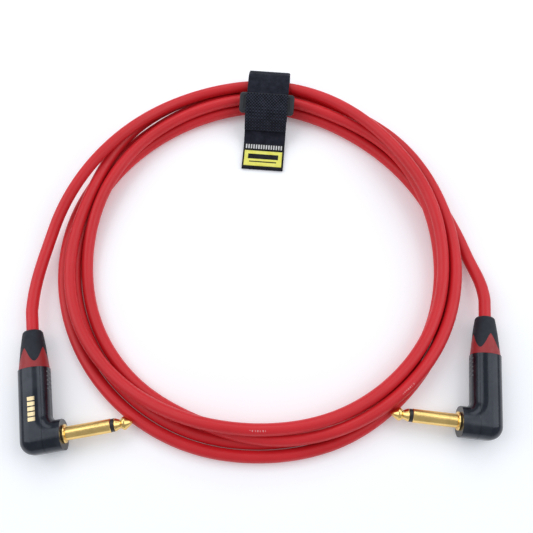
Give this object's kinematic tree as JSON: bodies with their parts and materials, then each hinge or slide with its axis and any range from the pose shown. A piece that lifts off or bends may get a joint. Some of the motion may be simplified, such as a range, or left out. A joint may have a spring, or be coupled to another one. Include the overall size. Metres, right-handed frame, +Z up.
{
  "type": "instrument cable",
  "caption": "Coiled red instrument cable with right-angle plugs, screwed boots and a hook-and-loop cinch strap.",
  "frame": {"origin": "middle of the footprint of the coiled cable, at ground level", "axes": "+X from the left plug to the right plug, +Y from the plugs to the strap, +Z up"},
  "size_m": [0.2268, 0.2102, 0.0199],
  "materials": {
    "jacket_pvc": "satin",
    "copper": "satin",
    "insulation": "matt",
    "shell_black": "semi-gloss",
    "boot_black": "matt",
    "ring_red": "matt",
    "chuck_plastic": "matt",
    "gold_plate": "polished",
    "gold_print": "satin",
    "insulator_black": "matt",
    "tinned_brass": "satin",
    "solder": "satin",
    "cinch_plastic": "satin",
    "webbing": "woven",
    "label_weave": "woven",
    "patch_yellow": "woven"
  },
  "bodies": {
    "coil": {"coil_core": "copper", "coil_dielectric": "insulation", "coil_jacket": "jacket_pvc", "coil_screen": "copper"},
    "left_plug": {"left_ground_tag": "tinned_brass", "left_insert_carrier": "insulator_black", "left_insulating_ring": "insulator_black", "left_insulating_tube": "insulator_black", "left_mark": "gold_print", "left_shell_back": "shell_black", "left_shell_front": "shell_black", "left_sleeve_contact": "gold_plate", "left_solder_joints": "solder", "left_tail_core": "copper", "left_tail_dielectric": "insulation", "left_tail_jacket": "jacket_pvc", "left_tail_screen": "copper", "left_tip_contact": "gold_plate", "left_tip_tag": "tinned_brass"},
    "left_chuck": {"left_chuck": "chuck_plastic"},
    "left_boot": {"left_boot": "boot_black", "left_coding_ring": "ring_red"},
    "right_plug": {"right_ground_tag": "tinned_brass", "right_insert_carrier": "insulator_black", "right_insulating_ring": "insulator_black", "right_insulating_tube": "insulator_black", "right_shell_back": "shell_black", "right_shell_front": "shell_black", "right_sleeve_contact": "gold_plate", "right_solder_joints": "solder", "right_tail_core": "copper", "right_tail_dielectric": "insulation", "right_tail_jacket": "jacket_pvc", "right_tail_screen": "copper", "right_tip_contact": "gold_plate", "right_tip_tag": "tinned_brass"},
    "right_chuck": {"right_chuck": "chuck_plastic"},
    "right_boot": {"right_boot": "boot_black", "right_coding_ring": "ring_red"},
    "strap": {"cinch_ring": "cinch_plastic", "label_patch": "patch_yellow", "strap_label": "label_weave", "strap_loop": "webbing", "strap_tail": "webbing"},
    "strap_flap": {"strap_flap": "webbing"}
  },
  "joints": [
    {"name": "left_tail_swing", "type": "hinge", "parent": "coil", "child": "left_plug", "pos_m": [-0.10501, 0.00719, 0.00798], "axis": [0, 0, 1], "range_deg": [-50, 0]},
    {"name": "left_chuck_slide", "type": "slide", "parent": "left_plug", "child": "left_chuck", "axis": [-0.1736, 0.9848, 0], "range_m": [0, 0.00375]},
    {"name": "left_boot_turn", "type": "hinge", "parent": "left_chuck", "child": "left_boot", "pos_m": [-0.10681, -0.05525, 0.0071], "axis": [-0.1736, 0.9848, 0], "range_deg": [0, 1080]},
    {"name": "right_tail_swing", "type": "hinge", "parent": "coil", "child": "right_plug", "pos_m": [0.1044, -0.00263, 0.00342], "axis": [0, 0, 1], "range_deg": [0, 50]},
    {"name": "right_chuck_slide", "type": "slide", "parent": "right_plug", "child": "right_chuck", "axis": [0.1167, 0.9932, 0], "range_m": [0, 0.00375]},
    {"name": "right_boot_turn", "type": "hinge", "parent": "right_chuck", "child": "right_boot", "pos_m": [0.10751, -0.04856, 0.0071], "axis": [0.1167, 0.9932, 0], "range_deg": [0, 1080]},
    {"name": "strap_slide", "type": "hinge", "parent": "coil", "child": "strap", "pos_m": [0.00334, -0.01094, 0], "axis": [0, 0, 1], "range_deg": [-2, 2]},
    {"name": "strap_flap_lift", "type": "hinge", "parent": "strap", "child": "strap_flap", "pos_m": [0.00381, 0.08274, 0.01742], "axis": [-0.9966, 0.0819, 0], "range_deg": [0, 110]}
  ],
  "couplings": [
    {"joint": "left_boot_turn", "follows": "left_chuck_slide", "rad_per_m": 5026.5},
    {"joint": "right_boot_turn", "follows": "right_chuck_slide", "rad_per_m": 5026.5}
  ]
}
